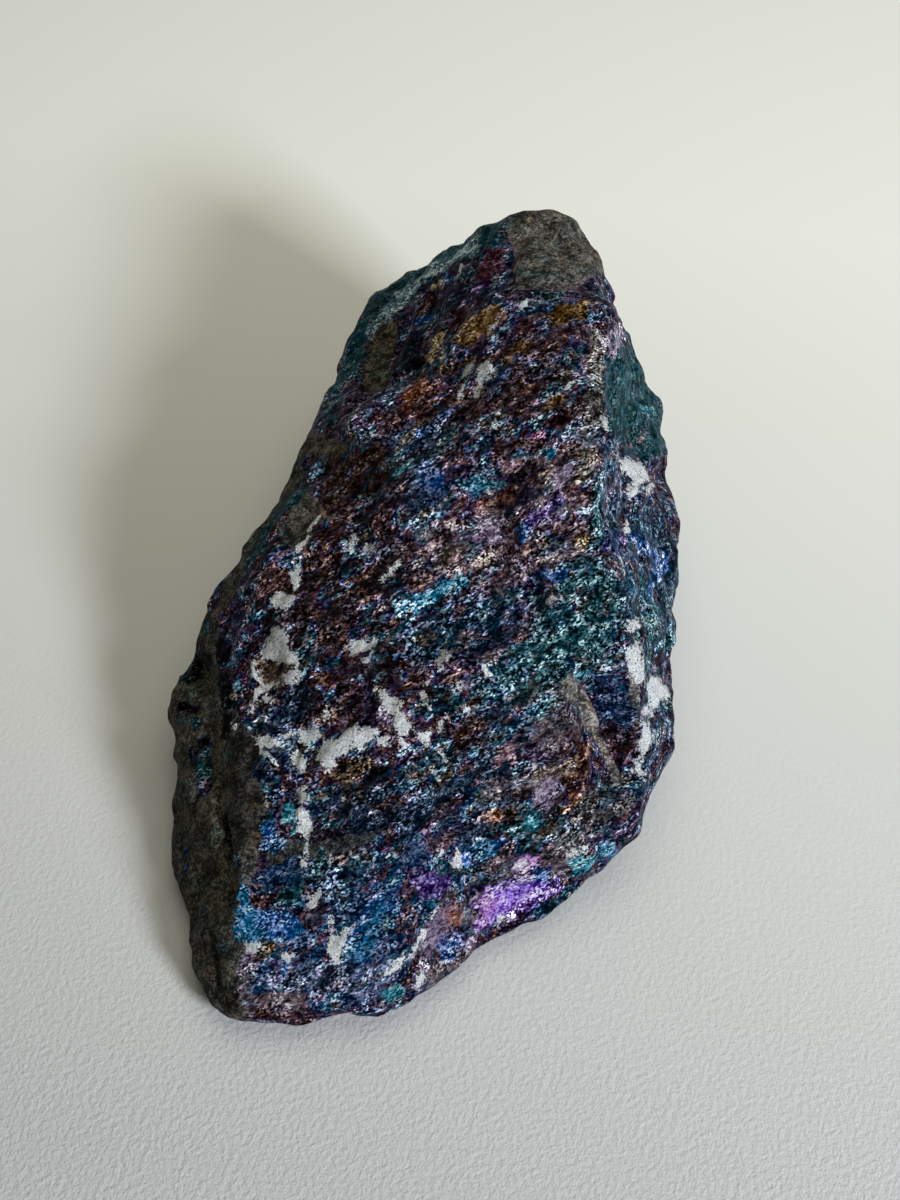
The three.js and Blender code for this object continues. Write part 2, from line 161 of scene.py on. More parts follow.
# Ground that shows in the photograph: its kind, half-width, then pixels along its middle. Ground
# with a clear edge has OUTLINE for its half-width, then the pixels of its outline.
OUTLINE = 0
GROUND_STROKES = (
    ("upper_flaky", 62, (490, 250), (430, 330), (540, 330)),
    ("dark_flaky", 62, (300, 560), (290, 680), (340, 770), (420, 690), (390, 560)),
    ("violet_flaky", 40, (380, 720), (430, 740), (450, 690), (470, 640)),
    ("flaky", 42, (480, 390), (540, 375), (570, 400)), ("flaky", 40, (450, 400), (500, 430)),
    ("rose_dust", 36, (570, 460), (560, 520), (480, 560), (430, 545)),
    ("sparkling", 40, (590, 600), (560, 660), (520, 690)),
    ("dark_sea", 34, (500, 730), (450, 790), (400, 800)),
    ("deep_blue", 26, (430, 500), (400, 450), (450, 440)),
    ("dark_sea", 26, (300, 870), (380, 885), (470, 860), (560, 850)),
    ("dark_sea", 26, (500, 620), (430, 640)),
    ("blue_flaky", 34, (300, 930), (350, 940), (400, 900), (440, 870)),
    ("deep_blue", 18, (360, 825), (440, 815), (480, 800)),
    ("dark_flaky", 20, (440, 700), (470, 740), (430, 770)),
    ("dark_flaky", 16, (500, 830), (560, 815), (600, 805)),
    ("blue_flaky", 30, (265, 975), (330, 980), (380, 970)),
    ("deep_blue", 18, (262, 705), (290, 715), (268, 775), (300, 790)),
    ("wall_rock", 38, (200, 640), (196, 760), (215, 860), (205, 930), (222, 990)),
    ("knob_rock", OUTLINE, (504, 226), (512, 205), (545, 195), (580, 208), (602, 240), (610, 270),
     (598, 277), (574, 287), (544, 294), (516, 291), (514, 270), (514, 250), (506, 238)),
    ("teal_skin", OUTLINE, (606, 352), (618, 335), (636, 350), (655, 380), (670, 420), (668, 450),
     (648, 462), (625, 452), (608, 432), (603, 400)),
    ("slate_skin", OUTLINE, (599, 432), (618, 442), (622, 470), (622, 500), (625, 540), (612, 560),
     (601, 540), (598, 480)),
    ("blue_facet", OUTLINE, (612, 530), (640, 500), (668, 515), (685, 560), (690, 620), (664, 640),
     (636, 640), (618, 600)),
    ("wall_rock", OUTLINE, (246, 740), (262, 775), (262, 845), (256, 872), (243, 902), (228, 945),
     (212, 980), (232, 1012), (200, 1000), (150, 900), (140, 700), (180, 640), (215, 660), (235, 700)),
    # Painted shade on the wall.
    ("shade_rock", OUTLINE, (236, 715), (262, 740), (264, 790), (262, 840), (240, 850), (228, 800),
     (226, 740)),
    # Painted shade in the notch and below it.
    ("hollow", OUTLINE, (178, 676), (186, 655), (200, 640), (202, 682), (188, 684)),
    ("hollow", 7, (180, 708), (192, 706)),
    ("taupe_rock", OUTLINE, (180, 684), (200, 684), (206, 700), (192, 704), (180, 698)),
    ("knob_rock", OUTLINE, (178, 728), (205, 728), (206, 744), (190, 746), (180, 742)),
    ("deep_blue", 9, (205, 745), (206, 785)), ("deep_blue", 6, (192, 752), (196, 762)),
    # Painted shade in a cut.
    ("hollow", 6, (224, 820), (228, 840), (236, 862)),
    ("taupe_rock", 9, (216, 790), (214, 830), (226, 880)),
    # Painted shade low on the wall.
    ("shade_rock", 12, (212, 935), (216, 985), (232, 1005)),
    # Painted shade in a hollow along the wall's top.
    ("hollow", 9, (222, 645), (228, 700), (226, 730)),
    ("wall_rock", 15, (318, 415), (300, 455), (262, 530), (225, 600)),
    ("teal_skin", 10, (300, 492), (275, 520), (250, 560)),
    ("teal_skin", OUTLINE, (328, 420), (335, 380), (352, 335), (372, 295), (400, 270), (440, 248),
     (470, 228), (505, 212), (506, 238), (480, 258), (452, 266), (430, 280), (412, 298), (395, 318),
     (378, 335), (366, 352), (360, 378), (346, 398), (336, 425)),
    # Painted sheen along the shaded shoulder's edge.
    ("pewter_skin", 11, (374, 332), (402, 296), (430, 272), (472, 248)),
    ("slate_skin", OUTLINE, (482, 282), (500, 272), (514, 276), (510, 296), (495, 302), (480, 296)),
    # The hollow on the next line is painted shade.
    ("taupe_rock", 17, (386, 335), (378, 365), (378, 388)), ("hollow", 14, (408, 345), (416, 368)),
    ("deep_blue", 10, (432, 310), (428, 350)), ("deep_blue", 12, (338, 410), (350, 380)),
    ("slate_skin", 9, (360, 405), (385, 398), (425, 366), (450, 352), (462, 330)),
    ("flaky", 7, (370, 415), (398, 408)), ("brown_stain", 28, (345, 490), (352, 465), (375, 470)),
    ("dark_sea", 14, (530, 310), (570, 312), (598, 310)),
    ("sparkling", 18, (645, 590), (655, 640), (650, 665)),
    ("sparkling", 10, (668, 600), (678, 650), (674, 700)),
    ("blue_facet", 12, (660, 700), (652, 740), (640, 790)),
    ("band_rock", OUTLINE, (265, 850), (290, 835), (305, 843), (320, 838), (352, 833), (384, 828),
     (378, 840), (345, 852), (322, 862), (300, 856), (282, 872), (266, 868)),
    ("gold_dust", 9, (597, 335), (596, 370), (594, 400), (586, 440), (584, 475)),
    ("sparkling", 8, (598, 490), (597, 545)), ("mauve_skin", 17, (550, 735), (570, 728)),
    ("brown_skin", 12, (495, 790), (540, 785), (560, 765)), ("russet_flaky", 16, (575, 755), (572, 800)),
    ("grey_dust", 22, (610, 800), (570, 835)), ("mauve_skin", 12, (495, 868), (540, 868), (590, 862)),
    ("dark_sea", 12, (540, 910), (590, 885)), ("mauve_skin", 14, (430, 945), (450, 918), (480, 905)),
    ("mauve_skin", 12, (430, 980), (462, 950)),
    ("lilac_skin", 14, (265, 968), (300, 985), (335, 975), (362, 985), (385, 970)),
    ("mauve_skin", 9, (250, 1000), (300, 1004)), ("vein_rock", 11, (570, 685), (590, 722)),
    ("vein_rock", 5, (590, 722), (617, 780)), ("vein_rock", 5, (633, 680), (636, 725)),
    # The hollow on the next line is painted shade.
    ("blue_flaky", 18, (612, 690), (616, 720)), ("hollow", 6, (625, 745), (622, 760)),
)

# Tarnish with a clear edge in the photograph: its colour and grain, then the outline in pixels.
TARNISH_PATCHES = (
    ("azure", 0.3, (243, 884), (250, 898), (260, 913), (285, 916), (300, 922), (306, 934), (290, 942),
     (264, 938), (247, 944), (237, 928), (238, 905)),
    ("blue", 0.45, (258, 914), (285, 914), (298, 926), (290, 938), (270, 936)),
    ("blue", 0.45, (262, 820), (270, 822), (281, 840), (276, 850), (264, 846)),
    ("cyan", 0.25, (286, 803), (293, 810), (295, 828), (288, 832), (281, 820)),
    ("denim", 0.45, (268, 862), (288, 862), (300, 880), (285, 884), (266, 876)),
    ("denim", 0.45, (402, 862), (410, 846), (425, 842), (428, 856), (412, 868)),
    ("violet", 0.45, (408, 875), (430, 872), (450, 880), (440, 900), (418, 896)),
    ("denim", 0.25, (358, 925), (372, 908), (385, 903), (384, 920), (380, 955), (365, 960), (357, 945)),
    ("lilac", 0.2, (425, 930), (445, 905), (455, 900), (452, 935), (430, 955), (422, 950)),
    ("copper", 0.2, (447, 925), (450, 912), (458, 906), (458, 925), (450, 937)),
    ("blue", 0.45, (440, 948), (452, 932), (462, 938), (458, 956), (444, 964)),
    ("purple", 0.15, (478, 900), (490, 888), (505, 883), (520, 878), (545, 880), (550, 890), (530, 892),
     (515, 900), (505, 915), (490, 925), (478, 928), (482, 912)),
    ("lilac", 0.45, (512, 866), (530, 860), (538, 874), (522, 884)),
    ("blue", 0.45, (534, 866), (550, 864), (550, 878), (536, 880)),
    ("cyan", 0.45, (570, 860), (592, 856), (590, 870), (574, 874)),
    ("sky", 0.45, (598, 845), (612, 840), (612, 855), (602, 860)),
    ("sky", 0.45, (474, 846), (492, 842), (496, 856), (480, 862)),
    ("dusk", 0.45, (419, 470), (430, 463), (441, 478), (440, 496), (430, 505), (420, 490)),
    ("ink", 0.45, (422, 492), (438, 494), (436, 510), (424, 508)),
    ("lilac", 0.3, (477, 512), (496, 506), (504, 524), (486, 530)),
    ("lilac", 0.3, (486, 524), (500, 520), (502, 534), (492, 540)),
    ("sky", 0.45, (467, 478), (472, 474), (480, 480), (482, 494), (475, 500), (468, 494)),
    ("cyan", 0.45, (484, 482), (500, 482), (512, 477), (514, 486), (500, 492), (486, 492)),
    ("blue", 0.4, (516, 532), (524, 526), (529, 534), (526, 546), (518, 549)),
    ("violet", 0.45, (526, 514), (540, 506), (560, 494), (566, 500), (546, 514), (532, 526)),
    ("cobalt", 0.4, (541, 572), (552, 569), (564, 574), (556, 580), (543, 580)),
    ("sky", 0.45, (545, 449), (552, 447), (556, 454), (548, 457)),
    ("lilac", 0.45, (552, 482), (566, 465), (573, 470), (558, 487)),
    ("tan", 0.45, (256, 662), (280, 662), (278, 682), (262, 686)),
    ("denim", 0.4, (606, 528), (618, 530), (620, 552), (608, 552)),
    ("stain", 0.45, (618, 516), (628, 518), (628, 532), (620, 534)),
    # Orange tarnish with a painted highlight on the ledge.
    ("ember", 0.4, (475, 505), (488, 497), (503, 490), (517, 483), (519, 493), (504, 501), (488, 508),
     (478, 510)),
    ("tan", 1.0, (470, 566), (478, 556), (491, 549), (498, 553), (488, 563), (476, 571)),
    # Orange tarnish with a painted highlight.
    ("ember", 0.5, (521, 551), (528, 543), (535, 538), (538, 543), (530, 552), (524, 556)),
    # Cyan tarnish with a painted highlight, brighter than its colour alone.
    ("glacier", 0.8, (402, 607), (420, 597), (445, 584), (462, 574), (466, 582), (446, 594), (424, 606),
     (406, 616)),
    ("russet", 0.8, (396, 406), (408, 388), (424, 377), (431, 386), (414, 399), (402, 412)),
    ("bronze", 0.6, (478, 334), (484, 314), (494, 308), (500, 314), (494, 330), (484, 340)),
    ("pink", 0.3, (498, 478), (516, 471), (537, 461), (538, 454), (518, 462), (500, 469)),
    ("orchid", 0.15, (478, 906), (486, 896), (492, 902), (486, 922), (478, 926)),
    ("cyan", 0.3, (383, 992), (392, 985), (402, 988), (399, 998), (386, 1001)),
    ("cyan", 0.4, (524, 822), (534, 815), (543, 820), (536, 828)),
    ("lilac", 0.2, (532, 786), (545, 778), (558, 784), (561, 798), (550, 808), (536, 802)),
    ("orchid", 0.2, (514, 864), (530, 858), (536, 862), (522, 870)),
    ("azure", 0.3, (352, 950), (362, 930), (374, 914), (384, 906), (382, 930), (372, 948), (360, 958)),
    ("pink", 0.45, (498, 764), (500, 750), (515, 738), (522, 742), (512, 758)),
    ("gold", 0.45, (430, 360), (436, 336), (444, 334), (442, 358)),
    ("wine", 0.45, (478, 272), (484, 252), (500, 248), (502, 268), (488, 282)),
    ("bronze", 0.45, (462, 340), (466, 322), (484, 310), (500, 316), (488, 334), (470, 346)),
    ("bronze", 0.45, (548, 322), (556, 306), (582, 303), (584, 318), (562, 326)),
)

# Coloured tarnish that shows in the photograph: half-width, then pixels along its middle.
TARNISH_STROKES = {
    "teal": (
        (7, (540, 296), (558, 294)), (5, (598, 515), (601, 548)), (12, (525, 650), (570, 640), (610, 650)),
        (8, (505, 828), (532, 824)), (8, (650, 632), (645, 655)), (9, (280, 900), (298, 888)),
        (7, (620, 380), (640, 370)), (6, (180, 720), (196, 721)),
    ),
    "green": ((5, (636, 638),), (5, (630, 410),)),
    "cyan": (
        (6, (400, 472), (412, 462)), (6, (242, 905), (246, 925)), (5, (284, 810), (291, 828)),
        (6, (574, 864), (590, 860)), (5, (600, 854), (611, 846)), (6, (643, 412), (654, 411)),
        (6, (660, 570), (668, 568)), (6, (652, 595), (658, 612)), (9, (586, 674), (598, 688)),
    ),
    "sky": (
        (9, (240, 900), (242, 935), (256, 942)), (6, (630, 588), (640, 595)), (5, (468, 487), (480, 479)),
        (5, (538, 452), (552, 450)), (6, (250, 620), (262, 613)), (8, (262, 830), (276, 846)),
        (6, (320, 470), (312, 476)), (4, (322, 893), (326, 898)), (7, (402, 610), (428, 598), (460, 580)),
    ),
    "blue": (
        (8, (466, 858), (494, 845)), (12, (354, 948), (368, 925), (384, 902)), (7, (521, 542), (526, 532)),
        (6, (545, 576), (563, 573)), (8, (600, 675), (620, 700)), (10, (630, 540), (665, 560), (650, 590)),
        (6, (445, 275), (448, 280)), (6, (418, 320), (430, 315)), (6, (496, 376), (504, 372)),
        (8, (260, 925), (285, 920)), (8, (540, 800), (558, 790)), (5, (420, 434), (428, 429)),
        (5, (264, 955), (257, 985)), (5, (288, 958), (282, 990)), (4, (312, 958), (306, 988)),
    ),
    "navy": ((12, (607, 690), (630, 715)),),
    "violet": ((6, (360, 553), (370, 544)), (7, (610, 550), (623, 535)), (8, (275, 925), (286, 932))),
    "purple": ((13, (484, 905), (515, 898), (548, 888)), (6, (464, 300), (482, 280))),
    "lilac": (
        (6, (474, 828), (485, 818)), (9, (484, 530), (494, 517)), (12, (608, 345), (622, 335)),
        (9, (445, 955), (468, 940)), (8, (240, 985), (252, 960)), (7, (380, 720), (385, 700)),
        (5, (424, 965), (431, 955)),
    ),
    "magenta": (
        (6, (526, 869), (536, 861)), (5, (591, 852), (600, 846)), (4, (317, 998), (323, 997)),
        (4, (244, 662), (243, 690)), (3, (300, 865), (306, 872)), (4, (534, 436), (543, 432)),
    ),
    "pink": (
        (5, (454, 572), (460, 558)), (5, (422, 554), (438, 544)), (4, (280, 945), (292, 942)),
        (4, (336, 855), (343, 858)), (4, (377, 611), (384, 606)), (3, (565, 492), (572, 490)),
        (4, (534, 545), (539, 541)),
    ),
    "orange": ((5, (523, 553), (530, 549)), (6, (567, 808), (576, 796)), (3, (523, 363), (530, 356))),
    "gold": ((5, (434, 358), (440, 338)), (4, (433, 287), (439, 283)), (5, (579, 545), (586, 541))),
    "olive": ((11, (343, 780), (362, 765)), (8, (443, 368), (463, 358)), (4, (474, 566), (480, 560))),
    "bronze": (
        (10, (555, 320), (578, 308)), (8, (509, 357), (521, 345)), (7, (266, 955), (274, 944)),
        (9, (463, 335), (486, 320), (498, 312)), (6, (546, 406), (561, 399)),
    ),
    "wine": ((8, (480, 275), (500, 250)), (4, (545, 423), (572, 415)), (6, (415, 380), (424, 376))),
    "copper": (
        (3, (524, 553), (530, 549)), (9, (567, 770), (590, 745)), (7, (450, 930), (458, 908)),
        (5, (526, 392), (536, 385)), (5, (489, 821), (499, 813)),
    ),
    "tan": ((5, (577, 480), (595, 448)), (5, (545, 476), (552, 472)), (10, (543, 776), (562, 765))),
    "ink": ((12, (265, 770), (300, 690)),),
    "patina": ((8, (315, 868), (323, 855)), (7, (207, 615), (206, 632)), (5, (200, 764), (210, 770))),
    "slate": (
        (6, (352, 448), (358, 445)), (10, (330, 800), (365, 815)), (9, (320, 985), (350, 965)),
        (5, (320, 893), (334, 880)), (8, (290, 990), (305, 965)), (8, (535, 812), (555, 800)),
        (7, (460, 838), (484, 832)),
    ),
    "denim": (
        (9, (268, 880), (298, 864)), (7, (327, 885), (335, 876)), (7, (258, 990), (268, 970)),
        (6, (184, 852), (187, 868)),
    ),
    "mauve": (
        (6, (543, 560), (573, 553)), (6, (488, 660), (496, 655)), (3, (612, 456), (630, 446), (647, 436)),
        (4, (470, 566), (496, 556)),
    ),
    "rust": ((8, (480, 330), (500, 318)), (10, (403, 420), (426, 405)), (9, (262, 592), (283, 584))),
    "dusk": ((10, (421, 468), (434, 492)), (8, (434, 430), (446, 416))),
}

# White crust that shows in the photograph: the outline of each patch, in pixels.
CRUST_PATCHES = (
    ((287, 570), (300, 568), (298, 590), (292, 585)),
    ((268, 600), (278, 593), (297, 595), (297, 600), (284, 612)),
    ((275, 628), (283, 628), (290, 640), (291, 652), (298, 657), (298, 664), (262, 661), (263, 652),
     (269, 641)),
    ((283, 676), (300, 668), (301, 676), (292, 684)),
    ((252, 735), (261, 737), (272, 738), (281, 743), (272, 748), (258, 745)),
    ((298, 742), (301, 732), (308, 727), (317, 728), (322, 736), (313, 742), (303, 746)),
    ((290, 750), (297, 748), (303, 754), (308, 764), (302, 773), (295, 765)),
    ((318, 758), (322, 743), (341, 737), (345, 727), (353, 725), (361, 729), (379, 727), (376, 738),
     (363, 746), (350, 751), (338, 756), (335, 766), (327, 771), (321, 765)),
    ((377, 737), (389, 738), (386, 748), (380, 746)),
    ((379, 689), (392, 697), (401, 702), (403, 712), (411, 722), (412, 731), (400, 738), (395, 725),
     (384, 706)),
    ((420, 735), (429, 731), (430, 744), (423, 746)),
    ((346, 647), (352, 641), (360, 639), (368, 643), (371, 635), (375, 637), (373, 647), (360, 652),
     (350, 653)),
    ((296, 799), (299, 789), (306, 788), (311, 800), (302, 804)),
    ((300, 807), (306, 810), (311, 820), (311, 832), (308, 840), (300, 834), (295, 827), (297, 815)),
    ((306, 898), (313, 896), (321, 892), (318, 904), (312, 914), (308, 909)),
    ((331, 938), (341, 935), (346, 927), (354, 926), (345, 941), (343, 953), (341, 960), (334, 961),
     (326, 951)),
    ((244, 944), (262, 941), (263, 948), (256, 952), (246, 950)),
    ((281, 955), (289, 952), (294, 956), (287, 961)),
    ((383, 974), (394, 962), (402, 953), (406, 956), (398, 966), (388, 975)),
    ((407, 955), (416, 943), (423, 930), (426, 932), (421, 946), (411, 959)),
    ((421, 969), (425, 976), (418, 988), (410, 989), (415, 978)),
    ((459, 849), (461, 867), (454, 869), (451, 861)),
    ((438, 661), (444, 648), (449, 652), (446, 663), (440, 668)),
    ((477, 378), (480, 368), (488, 361), (494, 364), (492, 374), (483, 377), (479, 393), (474, 392),
     (478, 385)),
    ((461, 375), (467, 363), (474, 359), (470, 370), (464, 380)),
    ((618, 459), (641, 461), (645, 470), (648, 478), (640, 485), (637, 493), (630, 498), (628, 488),
     (632, 482), (629, 474), (622, 472)),
    ((641, 488), (653, 484), (652, 491), (646, 495)), ((626, 521), (630, 530), (627, 538), (624, 530)),
    ((630, 621), (640, 620), (641, 626), (634, 631), (628, 632)),
    ((628, 648), (637, 643), (640, 655), (642, 676), (640, 685), (633, 681), (627, 668)),
    ((649, 680), (657, 676), (661, 682), (673, 695), (660, 700), (656, 708), (651, 716), (645, 713),
     (650, 703), (647, 694)),
    ((643, 722), (648, 722), (652, 735), (655, 742), (649, 745), (645, 752), (642, 758), (638, 748)),
    ((635, 758), (642, 758), (640, 768), (646, 775), (640, 779), (633, 770)),
    ((563, 852), (585, 845), (588, 850), (570, 857)),
)

# Thin lines and specks of white crust: half-width, then pixels along the middle.
CRUST_STROKES = (
    (2.5, (255, 664), (257, 677), (264, 687), (281, 684), (296, 682)), (2, (299, 674), (297, 664)),
    (2.5, (259, 690), (254, 702), (250, 712)), (2, (262, 698), (271, 701)), (2.5, (236, 725),),
    (2.5, (262, 752), (270, 757), (274, 762)), (2.5, (286, 736), (291, 733)),
    (2, (318, 517), (311, 527), (308, 540), (297, 552)), (2.5, (345, 545), (352, 548), (355, 537)),
    (2.5, (366, 548), (374, 550)), (2, (384, 580), (392, 570), (402, 561)), (2, (371, 649), (367, 662)),
    (2, (313, 718), (323, 720), (328, 709)), (2.5, (400, 738), (404, 744)), (2.5, (424, 682),),
    (2, (422, 694), (428, 705)), (2, (546, 600), (560, 599)), (2.5, (480, 580),),
    (1.5, (439, 730), (446, 716)), (1.5, (484, 668), (491, 676)), (2.5, (459, 684), (454, 690)),
    (2.5, (466, 710), (463, 714)), (1.5, (309, 842), (306, 852), (303, 865)), (2, (330, 919), (332, 935)),
    (1.5, (428, 920), (438, 908)), (2.5, (437, 858), (442, 852)), (1.5, (513, 869), (526, 861)),
    (2, (498, 919), (504, 915)), (2, (461, 385), (460, 396)), (2.5, (476, 397),),
    (2.5, (492, 327), (498, 323)), (3, (522, 307), (527, 302)), (2, (459, 274), (462, 266)),
    (2, (567, 389), (571, 384)), (2, (603, 412), (605, 427)), (1.5, (616, 442), (619, 459)),
    (1.5, (620, 558), (623, 572)), (2, (440, 752), (446, 760)), (2, (433, 771), (436, 779)),
    (2, (345, 798), (349, 795)), (2, (329, 856), (331, 860)), (1.5, (533, 770), (536, 766)),
    (2, (571, 823), (574, 824)),
)

# Cuts and ridges finer than the solid holds: half-width and rise, then pixels along the middle.
CARVED_STROKES = (
    (12, 0.5, (481, 510), (490, 536)), (5, 0.6, (486, 500), (500, 495), (514, 488)),
    (3, -0.25, (480, 511), (498, 506), (514, 502)), (9, -0.6, (662, 396), (668, 404)),
    (3, -0.25, (518, 484), (522, 497), (528, 508)), (3, -0.45, (484, 532), (494, 547), (505, 566)),
    (5, 0.5, (498, 476), (520, 468), (538, 456)), (5, 0.6, (562, 674), (582, 700), (597, 728), (615, 778)),
    (5, -0.8, (582, 668), (600, 690)), (4, 0.6, (560, 672), (580, 664), (622, 660)),
    (5, -0.8, (197, 658), (199, 674)), (5, 0.5, (190, 656), (186, 668), (182, 678)),
    (5, 0.5, (182, 690), (200, 692)), (5, -0.5, (182, 706), (194, 710)), (6, 0.5, (182, 735), (202, 738)),
    (5, -0.8, (222, 824), (232, 856)), (6, 0.5, (214, 800), (212, 840), (222, 880)),
    (5, -0.6, (206, 745), (208, 785)), (5, -0.5, (210, 935), (216, 985)), (8, 0.6, (258, 612), (254, 690)),
    (5, -0.7, (415, 335), (418, 370)), (4, 0.4, (434, 358), (441, 337)),
    (4, -0.6, (300, 745), (292, 780), (298, 800)), (4, -0.5, (424, 920), (452, 896), (480, 888)),
    (5, -0.6, (560, 880), (582, 885)),
)


def unit(vector):
    return np.array(vector) / np.linalg.norm(vector)


def view_axes():
    """The photograph's right, its up and the way back to the camera, as directions in the frame."""
    azimuth, elevation = radians(VIEW_AZIMUTH), radians(VIEW_ELEVATION)
    back = np.array([sin(azimuth) * cos(elevation), -cos(azimuth) * cos(elevation), sin(elevation)])
    right = np.array([cos(azimuth), sin(azimuth), 0])
    return right, np.cross(back, right), back


RIGHT, UP, BACK = view_axes()
CAMERA_PLACE = VIEW_TARGET + BACK * VIEW_DISTANCE
FOCAL_PIXELS = PHOTO_HEIGHT / 2 / tan(radians(VIEW_ANGLE / 2))


# Fixed scatter and noise

SEED_PRIMES = (73856093, 19349663, 83492791, 49979687)
MIXER = 0x9E3779B97F4A7C15
MIXER_ROUNDS = 2
MIXER_SHIFT = 29
SCATTER_BITS = 24
NOISE_GAIN = 1.6
TINY = 1e-9

# Each use of scatter has turns of its own, and hidden sides have their own random seed.
WOBBLE_TURN = 11
CHIPS_TURN = 40
ROUGHNESS_TURN = 70
HIDDEN_SEED = 7

CELLS_AROUND = [(x, y, z) for x in (-1, 0, 1) for y in (-1, 0, 1) for z in (-1, 0, 1)]
CORNERS = [(x, y, z) for x in (0, 1) for y in (0, 1) for z in (0, 1)]


def scatter(cells, turn):
    """A fixed value from 0 to 1 for each whole-numbered cell, and another for each turn."""
    x, y, z = (cells[:, i].astype(np.int64) for i in range(3))
    first, second, third, fourth = SEED_PRIMES
    mixed = ((x * first) ^ (y * second) ^ (z * third) ^ (turn * fourth)).astype(np.uint64)
    for _ in range(MIXER_ROUNDS):
        mixed = (mixed ^ (mixed >> np.uint64(MIXER_SHIFT))) * np.uint64(MIXER)
    return (mixed >> np.uint64(64 - SCATTER_BITS)) / 2.0**SCATTER_BITS


def scattered_vector(cells, turn):
    """Three fixed values from 0 to 1 for each cell."""
    return np.stack([scatter(cells, turn + i) for i in range(3)], 1)


def noise(points, width, turn):
    """Smooth noise of that width, about -1 to 1, at each point."""
    scaled = points / width
    cells = np.floor(scaled)
    within = scaled - cells
    ease = within * within * (3 - 2 * within)
    total = np.zeros(len(points))
    for corner in CORNERS:
        slope = scattered_vector(cells + corner, 3 * turn) * 2 - 1
        share = np.prod(np.where(corner, ease, 1 - ease), 1)
        total += share * np.sum(slope * (within - corner), 1)
    return total * NOISE_GAIN


def in_streaks(points):
    """The points with the lump squeezed along its streaks, so that what is even there is long here."""
    axis = unit(STREAK)
    along = points @ axis
    return points + np.outer(along * (1 / FLAKE_STRETCH - 1), axis)


def chips(points, width, tilt, rise, turn):
    """Flat chips: the skin near each scattered seed point tilts and stands its own way, by seven turns."""
    scaled = points / width
    cells = np.floor(scaled)
    total = np.zeros(len(points))
    height = np.zeros(len(points))
    for around in CELLS_AROUND:
        here = cells + around
        away = scaled - (here + scattered_vector(here, turn))
        pull = np.exp(-np.sum(away * away, 1) * width / CHIP_EDGE)
        slope = scattered_vector(here, turn + 3) * 2 - 1
        level = rise * (2 * scatter(here, turn + 6) - 1)
        height += pull * (tilt * width * np.sum(slope * away, 1) + level)
        total += pull
    return height / total


def smoothstep(edge, value):
    """From 0 to 1 as the value passes from the edge's first number to its second."""
    low, high = edge
    t = np.clip((value - low) / (high - low), 0, 1)
    return t * t * (3 - 2 * t)


def from_line(places, start, line, both_ways=False):
    """How far each place lies from a line that leads on from its start, or from there both ways."""
    offset = places - start
    share = np.clip(offset @ line / max(line @ line, TINY), -1 if both_ways else 0, 1)
    return np.linalg.norm(offset - np.outer(share, line), axis=1)


# Skin

# The fields painted on the skin that its material reads, and the depth of crust where there is none.
COLOUR_FIELDS = ("ground", "tint")
VALUE_FIELDS = ("flakes", "variety", "dull", "grain", "cover", "crust")
NO_CRUST = -3.0


def even_skin(node):
    """The node's solid as an even mesh in millimetres, with its flat base left as one face."""
    source = bpy.data.objects.new("source", node.data.copy())
    source.data.transform(Matrix.Scale(1 / MM, 4))
    bpy.context.scene.collection.objects.link(source)
    remesh = source.modifiers.new("even", "REMESH")
    remesh.mode = "VOXEL"
    remesh.voxel_size = SKIN_STEP
    smooth = source.modifiers.new("smooth", "SMOOTH")
    smooth.iterations = SKIN_SMOOTHING
    mesh = bpy.data.meshes.new_from_object(source.evaluated_get(bpy.context.evaluated_depsgraph_get()))
    bpy.data.objects.remove(source)
    shell = bmesh.new()
    shell.from_mesh(mesh)
    for vertex in shell.verts:
        if vertex.co.z < BASE_HEIGHT:
            vertex.co.z = 0
    base = [face for face in shell.faces if all(v.co.z == 0 for v in face.verts)]
    bmesh.ops.dissolve_faces(shell, faces=base, use_verts=False)
    shell.to_mesh(mesh)
    shell.free()
    return mesh


def mesh_array(mesh, of="co"):
    values = np.zeros(len(mesh.vertices) * 3, np.float32)
    mesh.vertices.foreach_get(of, values)
    return values.reshape(-1, 3).astype(float)


